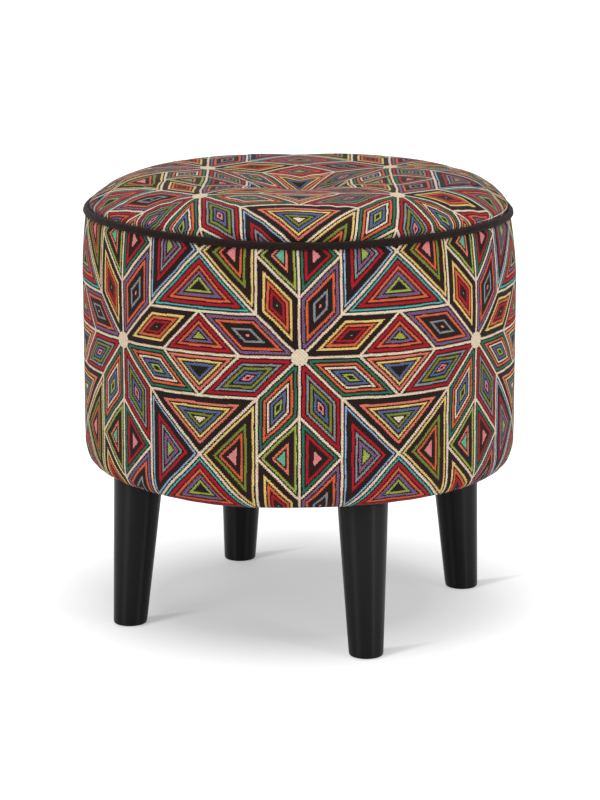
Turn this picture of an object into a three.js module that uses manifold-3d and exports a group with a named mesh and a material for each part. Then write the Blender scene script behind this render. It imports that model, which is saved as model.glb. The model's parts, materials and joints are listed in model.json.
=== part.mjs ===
// A round upholstered tuffet on four splayed, tapered legs, built as the separate pieces of the real one.
// Millimetres, +Z up. The origin is on the floor, under the middle of the seat.
// The legs stand on the diagonals, and the joints in the wrapped sheets are at the back, on +Y.
import * as THREE from "three";
import { mergeVertices } from "three/addons/utils/BufferGeometryUtils.js";
import Module from "manifold-3d";

const { PI, sin, cos, hypot, exp } = Math;
const DEGREE = PI / 180;

// Driving dimensions of the whole stool
const BODY_RADIUS = 217.4;
const SEAM_HEIGHT = 412.5;
const UNDERSIDE_HEIGHT = 158;
const CROWN_RISE = 37.5;
const PIPING_RADIUS = 3.6;
const PIPING_RING_RADIUS = 211.2;
const LEG_COUNT = 4;
const LEG_RING_RADIUS = 183;
const LEG_SPLAY = 4.1 * DEGREE;
const LEG_FOOT_RADIUS = 16.8;
const LEG_TOP_RADIUS = 25.3;
const LEG_TOP_HEIGHT = 165;

// Sheet thicknesses
const CLOTH = 1.2;
const WADDING = 5;
const SIDE_FOAM = 8;
const HARDBOARD = 3;
const BASE_BOARD = 22;
const SEAT_BOARD = 15;
const DUST_CLOTH = 0.6;

// Gaps: between touching pieces, and round a piece that passes through another
const GAP = 0.3;
const CLEARANCE = 0.4;

// Facets of a full turn
const BODY_FACETS = 36;
const LEG_FACETS = 20;
const SMALL_FACETS = 10;
const TINY_FACETS = 8;

const wasm = await Module();
wasm.setup();

// Turns a closed geometry into a solid that can be joined and cut
function solidOf(geometry) {
  const bare = geometry.index ? geometry.toNonIndexed() : geometry.clone();
  bare.deleteAttribute("normal");
  bare.deleteAttribute("uv");
  const merged = mergeVertices(bare, 1e-3);
  const kept = [];
  for (let i = 0; i < merged.index.count; i += 3) {
    const [a, b, c] = merged.index.array.slice(i, i + 3);
    if (a !== b && b !== c && c !== a) kept.push(a, b, c);
  }
  return new wasm.Manifold(
    new wasm.Mesh({
      numProp: 3,
      vertProperties: merged.attributes.position.array,
      triVerts: new Uint32Array(kept),
    }),
  );
}

function geometryOf(solid) {
  const mesh = solid.getMesh();
  const geometry = new THREE.BufferGeometry();
  geometry.setAttribute("position", new THREE.BufferAttribute(mesh.vertProperties, 3));
  geometry.setIndex(new THREE.BufferAttribute(mesh.triVerts, 1));
  const flat = geometry.toNonIndexed();
  flat.computeVertexNormals();
  return flat;
}

function cut(geometry, ...cutters) {
  return geometryOf(cutters.reduce((left, tool) => left.subtract(solidOf(tool)), solidOf(geometry)));
}

function join(first, ...others) {
  return geometryOf(others.reduce((sum, extra) => sum.add(solidOf(extra)), solidOf(first)));
}

// A closed outline of [radius, height] points turned about the Z axis
function turned(outline, facets) {
  let area = 0;
  outline.forEach(([r, z], i) => {
    const [nextR, nextZ] = outline[(i + 1) % outline.length];
    area += r * nextZ - nextR * z;
  });
  const ordered = area > 0 ? outline : [...outline].reverse();
  const points = ordered.map(([r, z]) => new THREE.Vector2(r, z));
  points.push(points[0].clone());
  return new THREE.LatheGeometry(points, facets).rotateX(PI / 2);
}

function rod(radius, low, high, facets = SMALL_FACETS) {
  return turned([[0, low], [radius, low], [radius, high], [0, high]], facets);
}

function block(x, y, low, high) {
  return new THREE.BoxGeometry(x, y, high - low).translate(0, 0, (low + high) / 2);
}

// Moves a [radius, height] path sideways by a distance, to the right of its direction
function offset(path, distance) {
  const normals = path.slice(1).map(([r, z], i) => {
    const run = [r - path[i][0], z - path[i][1]];
    const length = hypot(...run);
    return [run[1] / length, -run[0] / length];
  });
  return path.map(([r, z], i) => {
    const before = normals[Math.max(i - 1, 0)];
    const after = normals[Math.min(i, normals.length - 1)];
    const along = distance / (1 + before[0] * after[0] + before[1] * after[1]);
    return [r + (before[0] + after[0]) * along, z + (before[1] + after[1]) * along];
  });
}

// The outline of a sheet that lies to the right of a path
function sheet(path, thickness) {
  return [...path, ...offset(path, thickness).reverse()];
}

function copies(count, make) {
  return Array.from({ length: count }, (_, i) => make(i));
}

// The crown of the seat: full at the rim, with a wide bowl and a steep pit that the tuft pulls down
const CROWN_EDGE = 213.8;
const CROWN_FULLNESS = 9.3;
const BOWL_DEPTH = 14.5;
const BOWL_RADIUS = 81;
const PIT_DEPTH = 19.4;
const PIT_RADIUS = 27;
const PIT_FLOOR_RADIUS = 14.5;
const TUFT_HOLE_RADIUS = 3.4;

function crownHeight(radius) {
  const r = Math.max(radius, PIT_FLOOR_RADIUS);
  const dome = CROWN_RISE * (1 - (r / CROWN_EDGE) ** CROWN_FULLNESS);
  const bowl = BOWL_DEPTH * exp(-((r / BOWL_RADIUS) ** 2));
  const pit = PIT_DEPTH * exp(-((r / PIT_RADIUS) ** 2));
  return SEAM_HEIGHT + dome - bowl - pit;
}

// The covers meet inside the piping, and their seam allowances hang side by side
const ALLOWANCE_END = SEAM_HEIGHT - 15.5;
const TOP_ALLOWANCE_RADIUS = PIPING_RING_RADIUS - PIPING_RADIUS - 0.5;
const PIPING_CLOTH = 0.45;
const PIPING_TAIL_INNER = TOP_ALLOWANCE_RADIUS + GAP;
const PIPING_TAIL_OUTER = PIPING_TAIL_INNER + 2 * PIPING_CLOTH + GAP;
const SIDE_ALLOWANCE_RADIUS = PIPING_TAIL_OUTER + GAP;

// The top cover's outer face, from the tuft outwards
const crownPath = [
  ...[TUFT_HOLE_RADIUS, PIT_FLOOR_RADIUS, 24, 36, 58, 100, 140, 168, 187, 199].map((r) => [
    r,
    crownHeight(r),
  ]),
  [208, SEAM_HEIGHT + 9],
  [TOP_ALLOWANCE_RADIUS, SEAM_HEIGHT + 2.2],
  [TOP_ALLOWANCE_RADIUS, ALLOWANCE_END],
];

// The side cover's outer face, from its seam allowance over the fold, down the side and round to the hem
const SHOULDER_START = 340;
const SHOULDER_DROP = 4.6;
const SHOULDER_HEIGHT = 65;
const CORNER_WIDTH = 13;
const CORNER_HEIGHT = 25;
const HEM_INNER_RADIUS = 182;

function shoulderRadius(z) {
  return BODY_RADIUS - SHOULDER_DROP * ((z - SHOULDER_START) / SHOULDER_HEIGHT) ** 2;
}

function cornerPoint(angle) {
  return [
    BODY_RADIUS - CORNER_WIDTH * (1 - cos(angle)),
    UNDERSIDE_HEIGHT + CORNER_HEIGHT * (1 - sin(angle)),
  ];
}

const sidePath = [
  [SIDE_ALLOWANCE_RADIUS, ALLOWANCE_END],
  [SIDE_ALLOWANCE_RADIUS, SEAM_HEIGHT - 6.4],
  [SIDE_ALLOWANCE_RADIUS + 2, SEAM_HEIGHT - 4.5],
  [shoulderRadius(405), 405],
  ...[384, SHOULDER_START].map((z) => [shoulderRadius(z), z]),
  ...[0, 30, 55, 90].map((angle) => cornerPoint(angle * DEGREE)),
  [HEM_INNER_RADIUS, UNDERSIDE_HEIGHT],
];

// Levels and radii of the carcass
const BASE_LOW = UNDERSIDE_HEIGHT + CLOTH + GAP;
const BASE_HIGH = BASE_LOW + BASE_BOARD;
const SEAT_HIGH = 385;
const SEAT_LOW = SEAT_HIGH - SEAT_BOARD;
const FOAM_INNER_RADIUS = BODY_RADIUS - CLOTH - GAP - SIDE_FOAM;
const PANEL_OUTER_RADIUS = FOAM_INNER_RADIUS - GAP;
const PANEL_INNER_RADIUS = PANEL_OUTER_RADIUS - HARDBOARD;
const BOARD_RADIUS = PANEL_INNER_RADIUS - GAP;
const BASE_CHAMFER = 5;
const WRAP_LOW = UNDERSIDE_HEIGHT + 6.5;
const SHEET_JOINT = 1.5;

// Each corner is built on +X and turned about Z: a point on the leg's axis, a given way up it
function onLegAxis(way) {
  return new THREE.Matrix4()
    .makeRotationY(-LEG_SPLAY)
    .setPosition(LEG_RING_RADIUS - way * sin(LEG_SPLAY), 0, way * cos(LEG_SPLAY));
}

function cornerAngle(i) {
  return (45 + i * 90) * DEGREE;
}

function sideAngle(i) {
  return i * 90 * DEGREE;
}

// Legs, and what joins them to the base board
const GLIDE_HEIGHT = 2.4;
const GLIDE_RADIUS = 11.5;
const FOOT_HEIGHT = 1.1;
const NAIL_RADIUS = 1;
const NAIL_TOP = 15;
const FOOT_ROUNDING = 1.6;
const BOLT_RADIUS = 4;
const BOLT_CORE_RADIUS = 3.1;
const BOLT_IN_LEG = 30;
const BOLT_ABOVE_LEG = 20;
const THREAD_RIDGES = 4;
const NUT_FLANGE = 1.5;
const NUT_FLANGE_RADIUS = 11;
const NUT_BARREL_RADIUS = 5.6;
const NUT_BARREL = 10;
const NUT_WALL_START = 14.5;
const PRONG_RING_RADIUS = 9;
const PRONG_LENGTH = 7;

function legGeometry() {
  const slope = (LEG_TOP_RADIUS - LEG_FOOT_RADIUS) / LEG_TOP_HEIGHT;
  const profile = [
    [0, -4],
    [LEG_FOOT_RADIUS - FOOT_ROUNDING - 1.6, -4],
    [LEG_FOOT_RADIUS - FOOT_ROUNDING * 0.7, FOOT_HEIGHT + 0.6],
    [LEG_FOOT_RADIUS - FOOT_ROUNDING * 0.2, FOOT_HEIGHT + 1.8],
    [LEG_FOOT_RADIUS + slope * 4.5, FOOT_HEIGHT + 4],
    [LEG_TOP_RADIUS, LEG_TOP_HEIGHT],
    [0, LEG_TOP_HEIGHT],
  ];
  const leg = turned(profile, LEG_FACETS).applyMatrix4(onLegAxis(0));
  const floor = block(80, 80, -20, FOOT_HEIGHT).translate(LEG_RING_RADIUS, 0, 0);
  const recess = rod(GLIDE_RADIUS + GAP, -5, GLIDE_HEIGHT + GAP, LEG_FACETS);
  const boltHole = rod(BOLT_RADIUS + CLEARANCE, LEG_TOP_HEIGHT - BOLT_IN_LEG - 1, LEG_TOP_HEIGHT + 5);
  const nailHole = rod(NAIL_RADIUS + CLEARANCE, -5, NAIL_TOP + 1, TINY_FACETS);
  return cut(
    leg,
    floor,
    recess.translate(LEG_RING_RADIUS, 0, 0),
    boltHole.applyMatrix4(onLegAxis(0)),
    nailHole.translate(LEG_RING_RADIUS, 0, 0),
  );
}

function glideGeometry() {
  const rim = [[GLIDE_RADIUS - 1, 0], [GLIDE_RADIUS, 0.8], [GLIDE_RADIUS, GLIDE_HEIGHT]];
  const disc = turned([[0, 0], ...rim, [0, GLIDE_HEIGHT]], LEG_FACETS);
  const shank = [[0, 1], [NAIL_RADIUS, 1], [NAIL_RADIUS, NAIL_TOP - 2], [0, NAIL_TOP]];
  return join(disc, turned(shank, TINY_FACETS)).translate(LEG_RING_RADIUS, 0, 0);
}

// A hanger bolt: a wood thread in the leg and a machine thread above it
function hangerBoltGeometry() {
  const low = LEG_TOP_HEIGHT - BOLT_IN_LEG;
  const pitch = (BOLT_IN_LEG - 8) / THREAD_RIDGES;
  const ridges = copies(THREAD_RIDGES, (i) => [
    [BOLT_CORE_RADIUS, low + 4 + i * pitch],
    [BOLT_RADIUS, low + 4 + (i + 0.5) * pitch],
  ]).flat();
  return turned(
    [
      [0, low],
      ...ridges,
      [BOLT_CORE_RADIUS, LEG_TOP_HEIGHT - 4],
      [BOLT_RADIUS, LEG_TOP_HEIGHT - 3],
      [BOLT_RADIUS, LEG_TOP_HEIGHT + BOLT_ABOVE_LEG - 1],
      [BOLT_CORE_RADIUS, LEG_TOP_HEIGHT + BOLT_ABOVE_LEG],
      [0, LEG_TOP_HEIGHT + BOLT_ABOVE_LEG],
    ],
    TINY_FACETS,
  ).applyMatrix4(onLegAxis(0));
}

// The pronged nut, or with room round it the pocket that it is driven into
function nutParts(room) {
  const flangeLow = LEG_TOP_HEIGHT + NUT_WALL_START;
  const prong = (i) =>
    block(1.2 + 2 * room, 2.6 + 2 * room, flangeLow - PRONG_LENGTH - room, flangeLow + 0.5)
      .translate(PRONG_RING_RADIUS, 0, 0)
      .rotateZ((i + 0.5) * 90 * DEGREE);
  return [
    rod(NUT_FLANGE_RADIUS + room, flangeLow - room, flangeLow + NUT_FLANGE + (room ? 10 : 0)),
    rod(NUT_BARREL_RADIUS + room, flangeLow - NUT_BARREL - room, flangeLow + 1),
    ...copies(4, prong),
  ];
}

function pronged(room) {
  const [flange, barrel, ...prongs] = nutParts(room);
  return join(flange, barrel, ...prongs).applyMatrix4(onLegAxis(0));
}

function nutGeometry() {
  const bore = rod(BOLT_RADIUS + CLEARANCE, LEG_TOP_HEIGHT, LEG_TOP_HEIGHT + 30);
  return cut(pronged(0), bore.applyMatrix4(onLegAxis(0)));
}

// What the base board loses at each leg: a slanting socket, the bolt's hole and the nut's pocket
function socketGeometry() {
  const socket = rod(LEG_TOP_RADIUS + CLEARANCE, LEG_TOP_HEIGHT - 20, LEG_TOP_HEIGHT + GAP, LEG_FACETS);
  const hole = rod(BOLT_RADIUS + CLEARANCE, LEG_TOP_HEIGHT - 1, LEG_TOP_HEIGHT + 30);
  return join(
    socket.applyMatrix4(onLegAxis(0)),
    hole.applyMatrix4(onLegAxis(0)),
    pronged(CLEARANCE),
  );
}

// The opening in the cloth where a leg passes
function legOpening() {
  return rod(LEG_TOP_RADIUS + 1.2, LEG_TOP_HEIGHT - 30, LEG_TOP_HEIGHT, LEG_FACETS).applyMatrix4(
    onLegAxis(0),
  );
}

// Staples that hold the dust cover and the hem
const STAPLE_COUNT = 12;
const STAPLE_RING_RADIUS = 190;
const STAPLE_PLACES = [0, 27, 63];
const STAPLE_CROWN = 10;
const STAPLE_WIRE = 0.9;
const STAPLE_LEG = 8;
const DUST_HIGH = UNDERSIDE_HEIGHT - GAP;
const DUST_LOW = DUST_HIGH - DUST_CLOTH;
const DUST_RADIUS = 195;

// Three to a quarter turn, clear of the legs
function stapleAngle(i) {
  return (Math.floor(i / STAPLE_PLACES.length) * 90 + STAPLE_PLACES[i % STAPLE_PLACES.length]) * DEGREE;
}

function stapleProngs(room) {
  const wire = STAPLE_WIRE + 2 * room;
  const low = DUST_LOW - GAP - STAPLE_WIRE / 2;
  return [-1, 1].map((side) =>
    block(wire, wire, low, low + STAPLE_LEG + room).translate(
      STAPLE_RING_RADIUS,
      (side * (STAPLE_CROWN - STAPLE_WIRE)) / 2,
      0,
    ),
  );
}

function stapleGeometry() {
  const crown = block(STAPLE_WIRE, STAPLE_CROWN, DUST_LOW - GAP - STAPLE_WIRE, DUST_LOW - GAP);
  return join(crown.translate(STAPLE_RING_RADIUS, 0, 0), ...stapleProngs(0));
}

const stapleHoles = copies(STAPLE_COUNT, (i) =>
  stapleProngs(CLEARANCE).map((prong) => prong.rotateZ(stapleAngle(i))),
).flat();
const legOpenings = copies(LEG_COUNT, (i) => legOpening().rotateZ(cornerAngle(i)));

// The carcass: two boards, four uprights and a hardboard wrap
const UPRIGHT_WIDTH = 44;
const UPRIGHT_DEPTH = 28;
const UPRIGHT_RADIUS = 185;
const SCREW_RADIUS = 2;
const SCREW_HEAD_RADIUS = 4;
const SCREW_LENGTH = 45;
const VENT_RADIUS = 20;

// A countersunk screw with its head at height 0, pointing up
function screwGeometry(room = 0) {
  const wide = room ? 0.5 : 0;
  return turned(
    [
      [0, -wide],
      [SCREW_HEAD_RADIUS + room, -wide],
      [SCREW_HEAD_RADIUS + room, 0.6],
      [SCREW_RADIUS + room, 3],
      [SCREW_RADIUS + room, SCREW_LENGTH - 4],
      [0, SCREW_LENGTH + room],
    ],
    TINY_FACETS,
  );
}

function lowScrew(i, room) {
  return screwGeometry(room).translate(UPRIGHT_RADIUS, 0, BASE_LOW).rotateZ(sideAngle(i));
}

function highScrew(i, room) {
  return screwGeometry(room).rotateX(PI).translate(UPRIGHT_RADIUS, 0, SEAT_HIGH).rotateZ(sideAngle(i));
}

function uprightGeometry(i) {
  const post = block(UPRIGHT_DEPTH, UPRIGHT_WIDTH, BASE_HIGH + GAP, SEAT_LOW - GAP)
    .translate(UPRIGHT_RADIUS, 0, 0)
    .rotateZ(sideAngle(i));
  return cut(post, lowScrew(i, CLEARANCE), highScrew(i, CLEARANCE));
}

function baseBoardGeometry() {
  return cut(
    turned(
      [
        [0, BASE_LOW],
        [BOARD_RADIUS - BASE_CHAMFER, BASE_LOW],
        [BOARD_RADIUS, BASE_LOW + BASE_CHAMFER * 0.7],
        [BOARD_RADIUS, BASE_HIGH],
        [0, BASE_HIGH],
      ],
      BODY_FACETS,
    ),
    rod(VENT_RADIUS, BASE_LOW - 1, BASE_HIGH + 1, LEG_FACETS),
    ...copies(LEG_COUNT, (i) => socketGeometry().rotateZ(cornerAngle(i))),
    ...copies(4, (i) => lowScrew(i, CLEARANCE)),
    ...stapleHoles,
  );
}

function seatBoardGeometry() {
  return cut(
    rod(BOARD_RADIUS, SEAT_LOW, SEAT_HIGH, BODY_FACETS),
    rod(TUFT_HOLE_RADIUS, SEAT_LOW - 1, SEAT_HIGH + 1),
    ...copies(4, (i) => highScrew(i, CLEARANCE)),
  );
}

// The joint where a wrapped sheet's two ends meet
function sheetJoint() {
  return block(SHEET_JOINT, 40, 100, SEAM_HEIGHT).translate(0, BODY_RADIUS - 5, 0);
}

function sidePanelGeometry() {
  const ring = turned(
    [
      [PANEL_INNER_RADIUS, WRAP_LOW],
      [PANEL_OUTER_RADIUS, WRAP_LOW],
      [PANEL_OUTER_RADIUS, SEAT_HIGH],
      [PANEL_INNER_RADIUS, SEAT_HIGH],
    ],
    BODY_FACETS,
  );
  return cut(ring, sheetJoint());
}

function sideFoamGeometry() {
  const rebate = SIDE_ALLOWANCE_RADIUS + CLOTH + GAP;
  const outer = offset(sidePath, CLOTH + GAP).slice(3, -2);
  const ring = turned(
    [
      ...outer,
      [FOAM_INNER_RADIUS, WRAP_LOW],
      [FOAM_INNER_RADIUS, ALLOWANCE_END - GAP],
      [rebate, ALLOWANCE_END - GAP],
      [rebate, outer[0][1]],
    ],
    BODY_FACETS,
  );
  return cut(ring, sheetJoint());
}

function sideCoverGeometry() {
  return cut(turned(sheet(sidePath, CLOTH), BODY_FACETS), ...legOpenings, ...stapleHoles);
}

function dustCoverGeometry() {
  return cut(rod(DUST_RADIUS, DUST_LOW, DUST_HIGH, BODY_FACETS), ...legOpenings, ...stapleHoles);
}

// The seat: foam, wadding and the top cover, each following the crown
function seatLayerPath(depth) {
  const path = offset(crownPath, depth);
  const last = path[path.length - 1];
  return [...path.slice(0, -1), [last[0], SEAT_HIGH + GAP]];
}

function topCoverGeometry() {
  return turned(sheet(crownPath, CLOTH), BODY_FACETS);
}

function waddingGeometry() {
  const outer = seatLayerPath(CLOTH + GAP);
  const inner = seatLayerPath(CLOTH + GAP + WADDING);
  return turned([...outer, ...inner.reverse()], BODY_FACETS);
}

function seatFoamGeometry() {
  const outer = seatLayerPath(CLOTH + GAP + WADDING + GAP);
  return turned([...outer, [TUFT_HOLE_RADIUS, SEAT_HIGH + GAP]], BODY_FACETS);
}

// Piping: cloth wrapped round a cord, with both its edges in the seam as two plies of a tail
const PIPING_SIDES = 8;
const CORD_SIDES = 7;
const CORD_ROOM = 0.6;

function pipingArc(radius, from, to, steps) {
  return copies(steps + 1, (i) => {
    const angle = from + ((to - from) * i) / steps;
    return [PIPING_RING_RADIUS + radius * cos(angle), SEAM_HEIGHT + radius * sin(angle)];
  });
}

// The angle at which a circle of the piping's section comes down to meet the tail's outer ply
function tailAngle(tailRadius, radius) {
  return Math.acos((PIPING_RING_RADIUS - tailRadius) / radius) - PI;
}

function pipingCoverGeometry() {
  const bore = PIPING_RADIUS - PIPING_CLOTH;
  const mouth = PIPING_TAIL_OUTER - PIPING_CLOTH;
  return turned(
    [
      [PIPING_TAIL_INNER, ALLOWANCE_END],
      ...pipingArc(PIPING_RADIUS, PI, tailAngle(PIPING_TAIL_OUTER, PIPING_RADIUS), PIPING_SIDES),
      [PIPING_TAIL_OUTER, ALLOWANCE_END],
      [mouth, ALLOWANCE_END],
      ...pipingArc(bore, tailAngle(mouth, bore), PI, PIPING_SIDES),
      [PIPING_TAIL_INNER + PIPING_CLOTH, ALLOWANCE_END],
    ],
    BODY_FACETS,
  );
}

function pipingCordGeometry() {
  const radius = PIPING_RADIUS - PIPING_CLOTH - CORD_ROOM;
  const lastAngle = (2 * PI * (CORD_SIDES - 1)) / CORD_SIDES;
  return turned(pipingArc(radius, 0, lastAngle, CORD_SIDES - 1), BODY_FACETS);
}

// The tuft: a covered button, held by twine to an anchor under the seat board
const BUTTON_RADIUS = 13;
const BUTTON_LOW = crownHeight(0) + GAP;
const BUTTON_DOME = 6.5;
const BUTTON_BACK_RADIUS = 10;
const EYE_HEIGHT = BUTTON_LOW - 3.5;
const EYE_RADIUS = 1.5;
const TWINE_RADIUS = 0.7;
const TWINE_SPREAD = 1.8;
const ANCHOR_RADIUS = 16;
const ANCHOR_HIGH = SEAT_LOW - GAP;
const ANCHOR_LOW = ANCHOR_HIGH - 4;

function buttonCapGeometry() {
  const dome = copies(5, (i) => {
    const angle = (i * 90 * DEGREE) / 4;
    return [BUTTON_RADIUS * cos(angle), BUTTON_LOW + 1.5 + (BUTTON_DOME - 1.5) * sin(angle)];
  });
  const recess = BUTTON_BACK_RADIUS + CLEARANCE;
  return turned(
    [
      [recess, BUTTON_LOW],
      [BUTTON_RADIUS - 0.8, BUTTON_LOW],
      ...dome,
      [0, BUTTON_LOW + 2],
      [recess, BUTTON_LOW + 2],
    ],
    LEG_FACETS,
  );
}

function buttonBackGeometry() {
  const plate = rod(BUTTON_BACK_RADIUS, BUTTON_LOW, BUTTON_LOW + 1.5, LEG_FACETS);
  const eye = block(1.4, 5, EYE_HEIGHT - 3, BUTTON_LOW + 0.5);
  const hole = rod(EYE_RADIUS, -4, 4).rotateY(PI / 2).translate(0, 0, EYE_HEIGHT);
  return cut(join(plate, eye), hole);
}

// Twine runs up from its knot, through the button's eye and down again
function twineGeometry() {
  const knotHeight = ANCHOR_LOW - 3.2 - GAP;
  const bend = EYE_HEIGHT - TWINE_SPREAD;
  const section = copies(6, (i) => [
    TWINE_SPREAD + TWINE_RADIUS * cos((i * PI) / 3),
    TWINE_RADIUS * sin((i * PI) / 3),
  ]);
  const loop = turned(section, SMALL_FACETS).rotateX(PI / 2).translate(0, 0, bend);
  const lowerHalf = block(10, 10, bend - 10, bend);
  const strands = [-1, 1].map((side) =>
    rod(TWINE_RADIUS, knotHeight, bend + 0.1, 6).translate(side * TWINE_SPREAD, 0, 0),
  );
  const knot = new THREE.SphereGeometry(3.2, TINY_FACETS, 6).rotateX(PI / 2).translate(0, 0, knotHeight);
  return join(cut(loop, lowerHalf), ...strands, knot);
}

function anchorGeometry() {
  const holes = [-1, 1].map((side) =>
    rod(TWINE_RADIUS + CLEARANCE, ANCHOR_LOW - 1, ANCHOR_HIGH + 1, TINY_FACETS).translate(
      side * TWINE_SPREAD,
      0,
      0,
    ),
  );
  return cut(rod(ANCHOR_RADIUS, ANCHOR_LOW, ANCHOR_HIGH, LEG_FACETS), ...holes);
}

// Materials
function finish(color, roughness, metalness = 0) {
  return new THREE.MeshStandardMaterial({ color, roughness, metalness });
}

const finishes = {
  tapestry: finish(0x8f3a34, 0.9),
  piping: finish(0x29201e, 0.85),
  blackWood: finish(0x1c1c1c, 0.4),
  plywood: finish(0xc9a878, 0.7),
  pine: finish(0xd9bb8a, 0.7),
  hardboard: finish(0x7a5638, 0.8),
  foam: finish(0xe9e3cf, 0.95),
  wadding: finish(0xf2f1ec, 1),
  dustCloth: finish(0x191919, 0.95),
  steel: finish(0xa8abae, 0.4, 1),
  glide: finish(0x1f1f20, 0.5),
  twine: finish(0xd8d0bc, 0.9),
};

const tuffet = new THREE.Group();

function add(name, geometry, material, angle = 0) {
  const mesh = new THREE.Mesh(geometry, material);
  mesh.name = name;
  mesh.rotation.z = angle;
  tuffet.add(mesh);
}

const cornerNames = ["back_right", "back_left", "front_left", "front_right"];
const sideNames = ["right", "back", "left", "front"];

cornerNames.forEach((corner, i) => {
  add(`leg_${corner}`, legGeometry(), finishes.blackWood, cornerAngle(i));
  add(`glide_${corner}`, glideGeometry(), finishes.glide, cornerAngle(i));
  add(`hanger_bolt_${corner}`, hangerBoltGeometry(), finishes.steel, cornerAngle(i));
  add(`pronged_nut_${corner}`, nutGeometry(), finishes.steel, cornerAngle(i));
});

sideNames.forEach((side, i) => {
  add(`upright_${side}`, uprightGeometry(i), finishes.pine);
  add(`base_screw_${side}`, lowScrew(i, 0), finishes.steel);
  add(`seat_screw_${side}`, highScrew(i, 0), finishes.steel);
});

add("base_board", baseBoardGeometry(), finishes.plywood);
add("seat_board", seatBoardGeometry(), finishes.plywood);
add("side_panel", sidePanelGeometry(), finishes.hardboard);
add("side_foam", sideFoamGeometry(), finishes.foam);
add("side_cover", sideCoverGeometry(), finishes.tapestry);
add("dust_cover", dustCoverGeometry(), finishes.dustCloth);
add("seat_foam", seatFoamGeometry(), finishes.foam);
add("seat_wadding", waddingGeometry(), finishes.wadding);
add("top_cover", topCoverGeometry(), finishes.tapestry);
add("piping_cover", pipingCoverGeometry(), finishes.piping);
add("piping_cord", pipingCordGeometry(), finishes.twine);
add("tuft_button", buttonCapGeometry(), finishes.tapestry);
add("tuft_button_back", buttonBackGeometry(), finishes.steel);
add("tuft_twine", twineGeometry(), finishes.twine);
add("tuft_anchor", anchorGeometry(), finishes.pine);

for (let i = 0; i < STAPLE_COUNT; i++) {
  add(`dust_cover_staple_${i + 1}`, stapleGeometry(), finishes.steel, stapleAngle(i));
}

export default tuffet;
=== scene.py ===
import json
import math

import bmesh
import bpy
import numpy as np
from mathutils import Matrix, Vector


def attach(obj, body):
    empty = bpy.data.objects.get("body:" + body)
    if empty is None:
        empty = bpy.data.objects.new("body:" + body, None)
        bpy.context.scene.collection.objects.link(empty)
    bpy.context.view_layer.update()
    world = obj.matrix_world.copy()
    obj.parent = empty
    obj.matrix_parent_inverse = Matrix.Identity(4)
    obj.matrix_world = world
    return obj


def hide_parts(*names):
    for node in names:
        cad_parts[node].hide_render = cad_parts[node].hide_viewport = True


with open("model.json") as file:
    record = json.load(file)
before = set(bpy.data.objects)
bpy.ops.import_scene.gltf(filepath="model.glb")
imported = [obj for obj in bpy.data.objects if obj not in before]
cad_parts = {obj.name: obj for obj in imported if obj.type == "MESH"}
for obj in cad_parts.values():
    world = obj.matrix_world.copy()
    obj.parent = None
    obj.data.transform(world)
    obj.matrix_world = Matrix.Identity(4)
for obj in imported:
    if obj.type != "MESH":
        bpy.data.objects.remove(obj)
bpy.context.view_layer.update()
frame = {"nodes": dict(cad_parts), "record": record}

MM = 0.001
TURN = 2 * math.pi
BODY = "root"

# Where the photograph was taken from. Its picture is 600 by 800 pixels.
PICTURE_HEIGHT_PIXELS = 800
FOCAL_LENGTH_PIXELS = 2790.5
SENSOR_MM = 36
CAMERA_AZIMUTH = math.radians(24.2)
CAMERA_DISTANCE = 2767 * MM
CAMERA_HEIGHT = 844.5 * MM
CAMERA_PITCH = math.radians(12.79)
CAMERA_TURN = math.radians(0.012)

# The directions from the stool's axis towards the camera and away from it
FRONT = CAMERA_AZIMUTH - math.pi / 2
BACK = CAMERA_AZIMUTH + math.pi / 2

# The body of the stool, in millimetres
BODY_RADIUS = 217.4
SEAM_HEIGHT = 412.5
UNDERSIDE_HEIGHT = 158
CLOTH = 1.2
WADDING_DEPTHS = (2.0, 6.4)
TOP_SEAM_RADIUS = 206.5
TOP_SEAM_ALLOWANCE = 12
SIDE_SEAM_RADIUS = 208.5
SIDE_SEAM_ALLOWANCE = 14

# The seat's crown, and the tuft that draws it down
CROWN_RISE = 36.9
CROWN_EDGE = 213.8
CROWN_FULLNESS = 9.3
CROWN_FREE_RADIUS = 196
CROWN_SHOULDER = (7.2, 6.5)
CLEAR_START = 1.5
CLEAR_RISE = 18
BOWL_DEPTH = 14.5
BOWL_RADIUS = 81
PIT_DEPTH = 19.4
PIT_RADIUS = 27
BUTTON_RADIUS = 13
BUTTON_RISE = 5

# Where the tuft draws the crown down in a soft valley: degrees round from the far side, depth, half width
TUFT_PULLS = ((0, 1.9, 11), (72, 1.2, 15), (128, 1.0, 13), (186, 1.4, 12), (238, 1.0, 14), (296, 0.7, 12))
FULL_PULL_RADIUS = 60
SEAT_LEAN = 0.6

# The side: drawn in at the shoulder and rounded under at the bottom
WALL_TOP = SEAM_HEIGHT - 5
WALL_BOTTOM = 188
FOLD_DEPTH = 7
SHOULDER_START = 340
SHOULDER_DROP = 4.6
SHOULDER_HEIGHT = 65
CORNER_WIDTH = 13
CORNER_HEIGHT = 25
HEM_RADIUS = 182

# Piping, in a seam that is sewn by hand and so isn't quite level
PIPING_RADIUS = 3.6
CORD_RADIUS = 2.8
PIPING_RING_RADIUS = 211.4
SEAM_WAVE = 1.9
SEAM_WAVES = 3
SEAM_TILT = 1.3
SEAM_RISE = 3.0
SEAM_RISE_DEGREES = (82, 26)
SEAM_SHIFT = 1.2

# Where the bottom edge sags or is drawn up: degrees round from the front, depth, half width
HEM_SAGS = ((-21, 1.6, 15), (-66, -1.2, 18))

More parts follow.
